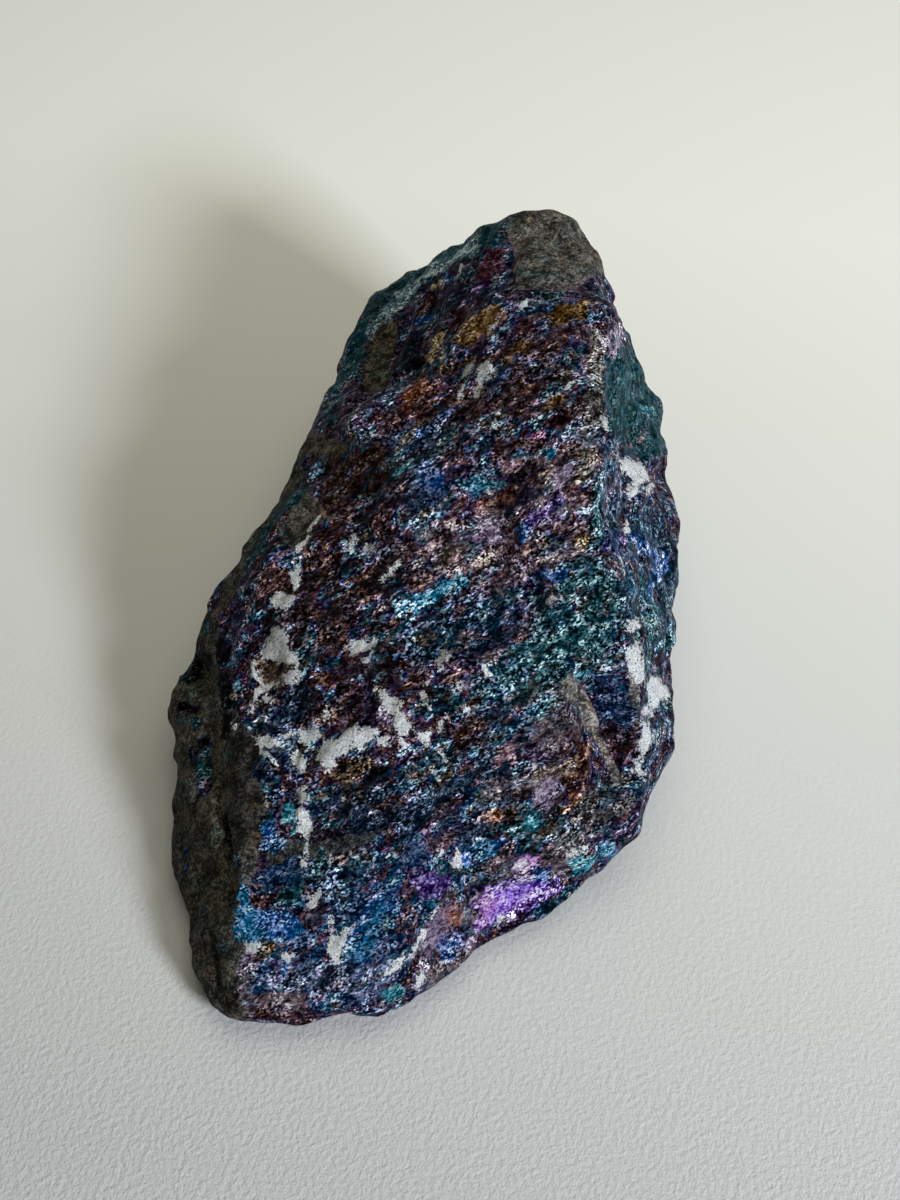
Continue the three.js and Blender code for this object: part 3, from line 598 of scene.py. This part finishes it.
class Skin:
    """The even skin, with the fields that are painted on it."""

    def __init__(self, mesh):
        self.mesh = mesh
        self.places = mesh_array(mesh)
        self.outward = mesh_array(mesh, "normal")
        without_base = [tuple(face.vertices) for face in mesh.polygons if len(face.vertices) <= 4]
        self.tree = BVHTree.FromPolygons([Vector(p) for p in self.places], without_base)
        count = len(self.places)
        self.ground, self.tint = np.zeros((count, 3)), np.zeros((count, 3))
        self.flakes, self.variety, self.dull, self.grain = (np.zeros(count) for _ in range(4))
        self.cover, self.raised = np.zeros(count), np.zeros(count)
        self.crust = np.full(count, NO_CRUST)
        self.wobble = sum(amount * noise(self.places, width, WOBBLE_TURN + i)
                          for i, (width, amount) in enumerate(WOBBLE))
        self.pixels, self.seen = self.as_photographed()

    def as_photographed(self, seen_facing=(0.0, 0.25)):
        """Where the photograph shows each vertex, in pixels, and how squarely it faces the camera there."""
        towards = CAMERA_PLACE - self.places
        scale = (FOCAL_PIXELS / (towards @ BACK))[:, None]
        pixels = np.stack([-(towards @ RIGHT), towards @ UP], 1) * scale + PHOTO_MIDDLE
        towards /= np.linalg.norm(towards, axis=1)[:, None]
        facing = smoothstep(seen_facing, np.sum(towards * self.outward, 1))
        start = self.places + self.outward * CLEAR_OF_SKIN
        for i in np.nonzero(facing)[0]:
            if self.tree.ray_cast(Vector(start[i]), Vector(towards[i]))[0] is not None:
                facing[i] = 0
        return pixels, facing

    def inside(self, outline):
        """How deep each vertex lies inside an outline drawn over the photograph, in millimetres."""
        corners = np.array(outline, float)
        distance = np.full(len(self.places), np.inf)
        within = np.zeros(len(self.places), bool)
        x, y = self.pixels.T
        for start, end in zip(corners, np.roll(corners, -1, axis=0)):
            side = end - start
            distance = np.minimum(distance, from_line(self.pixels, start, side))
            crosses = (start[1] > y) != (end[1] > y)
            slope = side[0] / side[1] if side[1] else 0
            within ^= crosses & (x < start[0] + (y - start[1]) * slope)
        depth = np.where(within, distance, -distance) / PIXELS_PER_MM
        return np.where(self.seen > 0, depth, -np.inf)

    def seen_at(self, pixel):
        """The point of the skin that the photograph shows at a pixel."""
        x, y = pixel
        ray = RIGHT * (x - PHOTO_WIDTH / 2) + UP * (PHOTO_HEIGHT / 2 - y) - BACK * FOCAL_PIXELS
        hit = self.tree.ray_cast(Vector(CAMERA_PLACE), Vector(ray))[0]
        if hit is None:
            hit = self.tree.find_nearest(Vector(CAMERA_PLACE + unit(ray) * VIEW_DISTANCE))[0]
        return np.array(hit)

    def from_path(self, pixels, longest_step=14):
        """How far each vertex lies from a path drawn over the photograph, in millimetres."""
        drawn = [np.array(pixels[0], float)]
        for start, end in zip(pixels, pixels[1:]):
            start, end = np.array(start, float), np.array(end, float)
            pieces = max(1, round(np.linalg.norm(end - start) / longest_step))
            drawn += [start + (end - start) * (i + 1) / pieces for i in range(pieces)]
        points = [self.seen_at(pixel) for pixel in drawn]
        distance = np.linalg.norm(self.places - points[0], axis=1)
        for start, end in zip(points, points[1:]):
            distance = np.minimum(distance, from_line(self.places, start, end - start))
        return distance

    def lay(self, kind, weight):
        """Mixes a kind of ground in, by a weight at each vertex."""
        colour, flakes, variety, dull, grain = GROUNDS[kind]
        self.ground += (np.array(COLOURS[colour]) - self.ground) * weight[:, None]
        self.flakes += (flakes - self.flakes) * weight
        self.variety += (variety - self.variety) * weight
        self.dull += (dull - self.dull) * weight
        self.grain += (grain - self.grain) * weight

    def lay_inside(self, kind, outline, edge=(-0.6, 0.6), torn=0.5):
        """Lays a kind of ground inside an outline, with a torn edge."""
        self.lay(kind, smoothstep(edge, self.inside(outline) + torn * self.wobble))

    def lay_along(self, kind, path, reach, edge=(1.35, 0.75), torn=0.22):
        """Lays a kind of ground along a path, softly towards its reach."""
        self.lay(kind, smoothstep(edge, self.from_path(path) / reach + torn * self.wobble))

    def tarnish(self, colour, distance, reach, edge=(2.2, 1.1), fade=(2.0, 0.2), most=0.72, torn=0.25):
        """Lays a tarnish colour over the flakes within reach, fewer of them towards its edge."""
        near = distance / reach + torn * self.wobble
        self.tint += (np.array(COLOURS[colour]) - self.tint) * smoothstep(edge, near)[:, None]
        self.cover = np.maximum(self.cover, most * smoothstep(fade, near))

    def coat(self, colour, grain, outline, flakes=0.75, edge=(-1.1, 0.7), most=0.95, torn=0.7):
        """Coats the skin inside an outline with tarnish of a colour, as rough as its grain."""
        share = smoothstep(edge, self.inside(outline) + torn * self.wobble)
        self.tint += (np.array(COLOURS[colour]) - self.tint) * share[:, None]
        self.grain += (grain - self.grain) * share
        self.flakes += (flakes - self.flakes) * share
        self.cover = np.maximum(self.cover, most * share)

    def add_crust(self, reach, distance, torn):
        """Adds crust within reach, where it lies deeper than what is there."""
        self.crust = np.maximum(self.crust, reach * (1 + torn * self.wobble) - distance)

    def carve(self, path, reach, rise, spread=1.3):
        """Raises a rounded ridge along a path, or sinks a cut where the rise is below zero."""
        nearness = np.clip(1 - (self.from_path(path) / (spread * reach)) ** 2, 0, 1)
        self.raised += rise * nearness * nearness


def paint_hidden_sides(skin, off_what_shows=9):
    """Ground, tarnish and crust for the sides that the photograph doesn't show."""
    skin.lay("flaky", np.ones(len(skin.places)))
    for kind, width, turn, edge in HIDDEN_GROUNDS:
        skin.lay(kind, smoothstep(edge, noise(skin.places, width, turn)))
    rng = np.random.default_rng(HIDDEN_SEED)
    shows = off_what_shows * skin.seen
    for _ in range(HIDDEN_STROKES):
        centre = skin.places[rng.integers(len(skin.places))]
        along = unit(STREAK) * rng.uniform(*HIDDEN_STROKE_LENGTHS)
        colour = HIDDEN_COLOURS[rng.integers(len(HIDDEN_COLOURS))]
        reach = rng.uniform(*HIDDEN_STROKE_WIDTHS)
        skin.tarnish(colour, from_line(skin.places, centre, along, both_ways=True) + shows, reach)
    for _ in range(HIDDEN_SPECKS):
        centre = skin.places[rng.integers(len(skin.places))]
        reach = rng.uniform(*HIDDEN_SPECK_WIDTHS)
        skin.add_crust(reach, np.linalg.norm(skin.places - centre, axis=1) + shows, torn=0.9)


def paint_from_photo(skin):
    """Ground, tarnish, crust, cuts and ridges that the photograph shows, one over the other."""
    skin.lay("violet_flaky", skin.seen)
    skin.tint = skin.ground.copy()
    for kind, half_width, *path in GROUND_STROKES:
        if half_width == OUTLINE:
            skin.lay_inside(kind, path)
        else:
            skin.lay_along(kind, path, half_width / PIXELS_PER_MM)
    for colour, strokes in TARNISH_STROKES.items():
        for half_width, *path in strokes:
            skin.tarnish(colour, skin.from_path(path), half_width / PIXELS_PER_MM)
    for colour, grain, *outline in TARNISH_PATCHES:
        skin.coat(colour, grain, outline)
    for outline in CRUST_PATCHES:
        skin.crust = np.maximum(skin.crust, skin.inside(outline))
    for half_width, *path in CRUST_STROKES:
        skin.add_crust(half_width / PIXELS_PER_MM, skin.from_path(path), torn=0.25)
    for half_width, rise, *path in CARVED_STROKES:
        skin.carve(path, half_width / PIXELS_PER_MM, rise)


def raise_relief(skin, crust_edge=(-0.1, 0.25), clear_of_base=1.2, least_height=0.02):
    """Where each vertex goes: along its outward direction by chips, roughness, cuts and crust."""
    streaked = in_streaks(skin.places)
    height = skin.places[:, 2]
    relief = sum(chips(streaked, *chip, CHIPS_TURN + 10 * i) for i, chip in enumerate(CHIPS))
    relief += sum(rise * noise(skin.places, width, ROUGHNESS_TURN + i)
                  for i, (width, rise) in enumerate(ROUGHNESS))
    worn = smoothstep((0, WORN_HEIGHT), height)
    relief *= (LEAST_RELIEF + (1 - LEAST_RELIEF) * worn) * skin.grain
    relief += skin.raised + CRUST_RISE * smoothstep(crust_edge, skin.crust)
    above = smoothstep((0, clear_of_base), height)
    moved = skin.places + skin.outward * (relief * above)[:, None]
    moved[:, 2] = np.where(height > 0, np.maximum(moved[:, 2], least_height), 0)
    return moved


def store(mesh, name, values):
    """Keeps a field on the mesh for its material: a colour or a single value at each vertex."""
    kind, field = ("FLOAT_COLOR", "color") if values.ndim == 2 else ("FLOAT", "value")
    if kind == "FLOAT_COLOR":
        values = np.c_[values, np.ones(len(values))]
    attribute = mesh.attributes.new(name, kind, "POINT")
    attribute.data.foreach_set(field, values.astype(np.float32).ravel())


def make_lump():
    skin = Skin(even_skin(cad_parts["chalcopyrite_specimen"]))
    paint_hidden_sides(skin)
    paint_from_photo(skin)
    mesh = skin.mesh
    mesh.vertices.foreach_set("co", (raise_relief(skin) * MM).astype(np.float32).ravel())
    for name in COLOUR_FIELDS + VALUE_FIELDS:
        store(mesh, name, getattr(skin, name))
    mesh.update()
    mesh.shade_smooth()
    mesh.name = "tarnished_ore"
    mesh.materials.clear()
    mesh.materials.append(ore_material())
    lump = bpy.data.objects.new("tarnished_ore", mesh)
    bpy.context.scene.collection.objects.link(lump)
    return lump


# Materials

# Sockets of the Mix node for colours, and the middle of values and colours that go from 0 to 1.
MIX_SHARE, MIX_FIRST, MIX_SECOND, MIX_RESULT = 0, 6, 7, 2
MIDDLE = 0.5
GREY = (MIDDLE, MIDDLE, MIDDLE)
WHITE = (1, 1, 1)


class Tree:
    """Short calls that add nodes to a material's tree and link them."""

    def __init__(self, material):
        material.use_nodes = True
        self.nodes = material.node_tree.nodes
        self.links = material.node_tree.links
        self.nodes.clear()

    def join(self, value, socket):
        if isinstance(value, bpy.types.NodeSocket):
            self.links.new(value, socket)
        elif value is not None:
            socket.default_value = value

    def add(self, kind, *inputs, named=(), **settings):
        """A node with its first inputs in order, others as pairs of a name and a value, and its settings."""
        node = self.nodes.new("ShaderNode" + kind)
        for name, value in settings.items():
            setattr(node, name, value)
        for socket, value in zip(node.inputs, inputs):
            self.join(value, socket)
        for name, value in named:
            self.join(value, node.inputs[name])
        return node

    def math(self, operation, *inputs):
        return self.add("Math", *inputs, operation=operation).outputs[0]

    def product(self, first, *others):
        for other in others:
            first = self.math("MULTIPLY", first, other)
        return first

    def without(self, share):
        """What a share leaves of the whole."""
        return self.math("SUBTRACT", 1, share)

    def vector(self, operation, first, second=None):
        node = self.add("VectorMath", first, second, operation=operation)
        return node.outputs["Value" if operation == "DOT_PRODUCT" else "Vector"]

    def scaled(self, vector, scale):
        return self.add("VectorMath", vector, operation="SCALE", named=[("Scale", scale)]).outputs["Vector"]

    def mix(self, share, first, second):
        node = self.add("Mix", data_type="RGBA")
        for socket, value in ((MIX_SHARE, share), (MIX_FIRST, first), (MIX_SECOND, second)):
            self.join(value, node.inputs[socket])
        return node.outputs[MIX_RESULT]

    def blend(self, share, first, second):
        return self.math("MULTIPLY_ADD", share, self.math("SUBTRACT", second, first), first)

    def span(self, value, ends):
        """Goes from the first end to the second as the value goes from 0 to 1."""
        start, end = ends
        return self.math("MULTIPLY_ADD", value, end - start, start)

    def swing(self, middle, amounts, *values):
        """A middle that each value from 0 to 1 moves about by its own amount."""
        for value, amount in zip(values, amounts):
            middle = self.math("ADD", middle, self.math("MULTIPLY_ADD", value, amount, -amount / 2))
        return middle

    def step(self, value, edge):
        """Goes smoothly from 0 to 1 as the value passes from the edge's first number to its second."""
        return self.add("MapRange", value, *edge, interpolation_type="SMOOTHSTEP").outputs[0]

    def attribute(self, name, output="Fac"):
        return self.add("Attribute", attribute_name=name).outputs[output]

    def noise(self, place, width, detail, roughness=0.5):
        inputs = (("Vector", place), ("Scale", 1 / width), ("Detail", detail), ("Roughness", roughness))
        return self.add("TexNoise", named=inputs).outputs["Fac"]

    def cells(self, place, width):
        """Scattered cells, each with a colour of its own: the colour, then its three values."""
        colour = self.add("TexVoronoi", named=(("Vector", place), ("Scale", 1 / width))).outputs["Color"]
        return colour, self.add("SeparateColor", colour).outputs

    def ramp(self, value, stops):
        node = self.add("ValToRGB", value)
        elements = node.color_ramp.elements
        while len(elements) < len(stops):
            elements.new(MIDDLE)
        for element, (position, colour) in zip(elements, stops):
            element.position = position
            element.color = (*colour, 1)
        return node.outputs["Color"]

    def bump(self, height, distance, strength=1):
        inputs = (("Strength", strength), ("Distance", distance), ("Height", height))
        return self.add("Bump", named=inputs).outputs[0]

    def finish(self, inputs):
        self.add("OutputMaterial", self.add("BsdfPrincipled", named=inputs).outputs[0])


# Noise in the ore: the width of its lumps in millimetres, its detail and its roughness.
DRIFT = (3.4, 4, 0.6)
BREAKUP = (1.1, 5, 0.72)
SPREAD = (1.3, 3, 0.55)
CLUSTERS = (2.2, 2)
SPECKLE = (0.5, 6, 0.78)
ROCK_EDGES = (3.2, 3)
ROCK_STREAKS = (1.6, 4, 0.7)
ROCK_STAINS = (2.6, 3)
CRUST_EDGES = (0.9, 3, 0.65)
CRUST_PITS = (0.30, 4, 0.75)
CHALK_GRAIN = (0.22, 4, 0.75)

# Cells of flakes, fine, middle and broad: their width in millimetres and how far each flake tilts.
FLAKE_WIDTHS = (0.19, 0.52, 1.5)
FLAKE_TILTS = (0.55, 0.55, 0.45)

# Tarnish of scattered flakes in the ground, from the thinnest film to the thickest.
FILM = (
    (0.0, (0.036, 0.024, 0.026)), (0.15, (0.085, 0.038, 0.030)), (0.26, (0.20, 0.085, 0.04)),
    (0.34, (0.17, 0.07, 0.11)), (0.43, (0.09, 0.065, 0.17)), (0.53, (0.035, 0.085, 0.28)),
    (0.63, (0.025, 0.14, 0.24)), (0.73, (0.06, 0.25, 0.32)), (0.84, (0.11, 0.14, 0.19)),
    (1.0, (0.16, 0.12, 0.08)),
)

# The film's thickness swings with drift, middle and broad cells. Broad cells and spread swap it for
# the ground's own colour, and spread and middle cells tear the cover of painted tarnish.
FILM_MIDDLE = 0.47
FILM_SWINGS = (3.6, 0.12, 0.34)
SWAP_SWINGS = (1.0, 1.6)
SWAP_EDGE = (0.25, 0.50)
COVER_SWINGS = (2.3, 0.12)
COVER_EDGE = (0.38, 0.60)

# A flake's brightness is a power of its share. Shares swing with sparkle, which is fine cells in
# clusters that paint glints, and with middle cells, broad cells and breakup. Breakup is also the
# height of the bumps, so it paints light on their tops and shade in their hollows. Grain gives them
# their contrast.
SHARE_MIDDLE = 0.02
SPARKLE_SWING = (2.1,)
CLUSTER_EDGE = (0.38, 0.62)
CLUSTERING = (0.6, 1.4)
SHARE_SWINGS = (0.55, 0.3, 4.0)
GRAIN_CONTRAST = (0.15, 1.0)
BRIGHTER_BY = 6.0
FLAKES_LEVEL = (0.12, 0.92)
# The darkest shares, mostly in the bumps' hollows, are darkened more: painted shade and dark flakes.
DARK_FLAKES_AND_SHADE_EDGE = (-1.0, 0.1)
DARK_FLAKES_AND_SHADE_LEVEL = (0.2, 1.0)
SATURATION_EDGE = (-0.7, 1.2)
SATURATION = (1.45, 0.65)

# Fine cells and breakup make painted glints, which lighten their flake's colour toward pale in place of
# glints of light.
PAINTED_GLINT_SWINGS = (1.0, 1.4)
PAINTED_GLINT_EDGE = (0.98, 1.1)
PAINTED_GLINT_GAIN = 1.6
PALE_PAINTED_GLINT = (0.18, 0.20, 0.22)

# How metallic and how rough the flakes are.
METAL = (0.6, 0.9)
FLAKE_ROUGHNESS = (0.32, 0.54)

# Dull rock: speckle, upright streaks and fine cells swing its brightness, and stains its hue, from
# a green-blue one to a tan one, as shares of its colour.
ROCK_UPRIGHT = (1, 1, 0.45)
ROCK_SWINGS = (4.8, 4.6, 1.2)
ROCK_BRIGHTEST = 0.75
ROCK_BRIGHTER_BY = 5.0
ROCK_HUES = (
    (0.34, (0.70, 1.0, 1.10)), (0.44, (1.0, 1.0, 1.0)),
    (0.56, (1.03, 1.0, 0.96)), (0.68, (1.30, 1.08, 0.85)),
)
ROCK_TEARS = (0.5, 0.8)
ROCK_EDGE = (0.42, 0.58)
ROCK_ROUGHNESS = 0.7

# White crust, from its pits to its tops, torn down to this depth by its edges and pits.
CHALK = (
    (0.36, (0.16, 0.16, 0.17)), (0.44, (0.52, 0.54, 0.57)),
    (0.52, (0.78, 0.81, 0.85)), (0.62, (0.92, 0.95, 0.98)),
)
CRUST_TEARS = (2.3, 2.1)
TORN_DEPTH = 0.42
CRUST_EDGE = (-0.04, 0.02)
CRUST_ROUGHNESS = 0.9

# Breakup, so many times as high as speckle, bumps the skin. Flakes tilt less in crust and rock.
LUMPS = 4.0
BUMP_DEPTH = 0.3
CRUST_FLATTENS = 0.7
ROCK_FLATTENS = 0.6
SPECULAR = 0.06
GRAZING_TINT = (0.40, 0.48, 0.52, 1)


class OreTree(Tree):
    """What the looks of the ore share: places on it, cells, noise and the fields painted on its skin."""

    def __init__(self, material):
        super().__init__(material)
        self.place = self.scaled(self.add("TexCoord").outputs["Object"], 1 / MM)
        axis = unit(STREAK)
        squeeze = self.math("MULTIPLY", self.vector("DOT_PRODUCT", self.place, axis), 1 / FLAKE_STRETCH - 1)
        self.streaked = self.vector("ADD", self.place, self.scaled(axis, squeeze))
        cells = [self.cells(self.streaked, width) for width in FLAKE_WIDTHS]
        self.cell_colours, (self.fine, self.middle, self.broad) = zip(*cells)
        self.breakup = self.noise(self.streaked, *BREAKUP)
        self.spread = self.noise(self.streaked, *SPREAD)
        self.speckle = self.noise(self.place, *SPECKLE)
        self.ground, self.tint = (self.attribute(name, "Color") for name in COLOUR_FIELDS)
        for name in VALUE_FIELDS:
            setattr(self, name, self.attribute(name))

    def tarnish(self):
        """The colour of each flake, and where that is painted tarnish."""
        drift = self.noise(self.streaked, *DRIFT)
        film = self.swing(FILM_MIDDLE, FILM_SWINGS, drift, self.middle[1], self.broad[1])
        swap = self.step(self.swing(MIDDLE, SWAP_SWINGS, self.broad[2], self.spread), SWAP_EDGE)
        own = self.mix(self.product(self.variety, swap), self.ground, self.ramp(film, FILM))
        patched = self.step(self.swing(self.cover, COVER_SWINGS, self.spread, self.middle[0]), COVER_EDGE)
        return self.mix(patched, own, self.tint), patched

    def flaky_ore(self, own):
        """The flakes' colours at their own brightness, with painted glints and painted light and shade: few
        are bright and pale, most dark and coloured.
        """
        clusters = self.step(self.noise(self.streaked, *CLUSTERS), CLUSTER_EDGE)
        sparkle = self.product(self.swing(0, SPARKLE_SWING, self.fine[0]), self.span(clusters, CLUSTERING))
        values = (self.middle[0], self.broad[0], self.breakup)
        shares = self.math("ADD", self.swing(sparkle, SHARE_SWINGS, *values), SHARE_MIDDLE)
        saturation = self.span(self.step(shares, SATURATION_EDGE), SATURATION)
        own = self.add("HueSaturation", named=(("Saturation", saturation), ("Color", own))).outputs[0]
        contrasting = self.product(shares, self.span(self.grain, GRAIN_CONTRAST))
        # Brightness with painted light on the bumps' tops and painted shade in their hollows.
        level = self.product(
            self.math("POWER", BRIGHTER_BY, contrasting), self.span(self.flakes, FLAKES_LEVEL),
            self.span(self.step(shares, DARK_FLAKES_AND_SHADE_EDGE), DARK_FLAKES_AND_SHADE_LEVEL))
        colour = self.vector("MULTIPLY", own, self.scaled(WHITE, level))
        # Painted glints: rare cells lightened toward pale in the base colour.
        painted_glint = self.step(self.swing(MIDDLE, PAINTED_GLINT_SWINGS, self.fine[0], self.breakup), PAINTED_GLINT_EDGE)
        painted_glint = self.product(painted_glint, self.flakes, self.grain)
        return self.mix(painted_glint, colour, self.vector("ADD", self.scaled(own, PAINTED_GLINT_GAIN), PALE_PAINTED_GLINT))

    def rock(self):
        """The colour of dull rock, and where it is."""
        streaks = self.noise(self.vector("MULTIPLY", self.place, ROCK_UPRIGHT), *ROCK_STREAKS)
        shares = self.swing(0, ROCK_SWINGS, self.speckle, streaks, self.fine[0])
        level = self.math("POWER", ROCK_BRIGHTER_BY, self.math("MINIMUM", shares, ROCK_BRIGHTEST))
        colour = self.vector("MULTIPLY", self.ground, self.scaled(WHITE, level))
        hues = self.ramp(self.noise(self.place, *ROCK_STAINS), ROCK_HUES)
        torn = self.swing(self.dull, ROCK_TEARS, self.noise(self.place, *ROCK_EDGES), self.breakup)
        return self.vector("MULTIPLY", colour, hues), self.step(torn, ROCK_EDGE)

    def chalk(self):
        """The colour of white crust, and where it is."""
        tears = (self.noise(self.place, *CRUST_EDGES), self.noise(self.place, *CRUST_PITS))
        covered = self.swing(self.math("MINIMUM", self.crust, TORN_DEPTH), CRUST_TEARS, *tears)
        return self.ramp(self.noise(self.place, *CHALK_GRAIN), CHALK), self.step(covered, CRUST_EDGE)

    def facets(self, is_rock, is_crust):
        """The way the surface faces: each flake turns its own way, less in rock and crust."""
        height = self.math("MULTIPLY_ADD", self.breakup, LUMPS, self.speckle)
        facing = self.bump(height, BUMP_DEPTH * MM)
        amount = self.product(self.grain, self.without(self.product(is_crust, CRUST_FLATTENS)),
                              self.without(self.product(is_rock, ROCK_FLATTENS)))
        for cell_colour, tilt in zip(self.cell_colours, FLAKE_TILTS):
            turn = self.scaled(self.vector("SUBTRACT", cell_colour, GREY), tilt)
            facing = self.vector("ADD", facing, self.scaled(turn, amount))
        return self.vector("NORMALIZE", facing)


def ore_material():
    """Metallic flakes of tarnished ore in a dark matrix, with dull rock and white crust on them."""
    material = bpy.data.materials.new("tarnished_ore")
    tree = OreTree(material)
    own, patched = tree.tarnish()
    rock, is_rock = tree.rock()
    is_rock = tree.product(is_rock, tree.without(patched))
    chalk, is_crust = tree.chalk()
    colour = tree.mix(is_crust, tree.mix(is_rock, tree.flaky_ore(own), rock), chalk)
    metal = tree.product(tree.span(tree.flakes, METAL), tree.without(is_rock), tree.without(is_crust))
    rough = tree.blend(is_rock, tree.span(tree.middle[1], FLAKE_ROUGHNESS), ROCK_ROUGHNESS)
    rough = tree.blend(is_crust, rough, CRUST_ROUGHNESS)
    tree.finish((
        ("Base Color", colour), ("Metallic", metal), ("Roughness", rough),
        ("Normal", tree.facets(is_rock, is_crust)),
        ("Specular IOR Level", SPECULAR), ("Specular Tint", GRAZING_TINT),
    ))
    return material


# The pale desk has painted shade: its colour is a little darker and cooler towards the camera. Then
# the way it grows lighter, the stretch over which it does so, in millimetres, and its colours at the
# ends and in the middle. Its grain shows most at the near end of a part of that stretch and fades out at the
# far end.
DESK_RUN = unit((-0.17, 0.98, 0))
DESK_REACH = 240
DESK_PAINTED_SHADE_TONES = (
    (0.2, (0.50, 0.507, 0.525)),
    (0.5, (0.65, 0.655, 0.645)),
    (0.95, (0.89, 0.895, 0.865)),
)
DESK_GRAIN_STRETCH = (0.1, 0.62)
DESK_GRAINS = (MM / 1.4, 3, 0.6)
DESK_GRAIN_HEIGHT = 0.3
DESK_ROUGHNESS = 0.6
DESK_SIZE = 4000


def floor_material():
    material = bpy.data.materials.new("pale_desk")
    tree = Tree(material)
    place = tree.add("TexCoord").outputs["Object"]
    along = tree.vector("DOT_PRODUCT", place, DESK_RUN / MM / DESK_REACH)
    share = tree.math("ADD", along, MIDDLE)
    grains = tree.noise(place, *DESK_GRAINS)
    facing = tree.bump(grains, DESK_GRAIN_HEIGHT * MM, tree.without(tree.step(share, DESK_GRAIN_STRETCH)))
    # Painted shade: darker and cooler towards the camera.
    painted_shade_tone = tree.ramp(share, DESK_PAINTED_SHADE_TONES)
    tree.finish((("Base Color", painted_shade_tone), ("Roughness", DESK_ROUGHNESS), ("Normal", facing)))
    return material


# Stage

# Soft lights: the way to each, as shares to the photograph's right, towards its camera and up,
# then its distance, width and height in metres, its power in watts and its colour.
LIGHTS = {
    "window": ((0.63, 0.595, 0.475), 0.8, 0.20, 0.16, 7.3, (0.92, 0.96, 1.0)),
    "ceiling": ((0.1, -0.35, 0.93), 0.5, 0.5, 0.5, 1.1, (1.0, 0.97, 0.80)),
}
ROOM_COLOUR = (1.0, 0.97, 0.82, 1)
ROOM_STRENGTH = 0.115


def area_light(name, shares, distance, width, height, watts, colour):
    level_back = unit((BACK[0], BACK[1], 0))
    direction = Vector(unit(RIGHT * shares[0] + level_back * shares[1] + np.array([0, 0, shares[2]])))
    light = bpy.data.lights.new(name, "AREA")
    light.shape = "RECTANGLE"
    light.size = width
    light.size_y = height
    light.energy = watts
    light.color = colour
    holder = bpy.data.objects.new(name, light)
    turned = direction.to_track_quat("Z", "Y").to_matrix().to_4x4()
    holder.matrix_world = Matrix.Translation(Vector(VIEW_TARGET * MM) + direction * distance) @ turned
    bpy.context.scene.collection.objects.link(holder)


def photo_camera():
    camera = bpy.data.cameras.new("camera")
    camera.sensor_width = SENSOR_HEIGHT
    camera.lens = SENSOR_HEIGHT / 2 / tan(radians(VIEW_ANGLE / 2))
    camera.clip_start = NEAREST_SHOWN * MM
    holder = bpy.data.objects.new("camera", camera)
    turned = Matrix((RIGHT, UP, BACK)).transposed().to_4x4()
    holder.matrix_world = Matrix.Translation(Vector(CAMERA_PLACE * MM)) @ turned
    bpy.context.scene.collection.objects.link(holder)
    return holder


def set_stage():
    bpy.ops.mesh.primitive_plane_add(size=DESK_SIZE * MM)
    floor = bpy.context.active_object
    floor.name = "floor"
    floor.data.materials.append(floor_material())

    for name, settings in LIGHTS.items():
        area_light(name, *settings)

    world = bpy.data.worlds.new("room")
    world.use_nodes = True
    room = world.node_tree.nodes["Background"].inputs
    room["Color"].default_value = ROOM_COLOUR
    room["Strength"].default_value = ROOM_STRENGTH
    bpy.context.scene.world = world

    bpy.context.scene.camera = photo_camera()
    bpy.context.scene.view_settings.view_transform = "Standard"


lump = make_lump()
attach(lump, "root")
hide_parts("chalcopyrite_specimen")
set_stage()
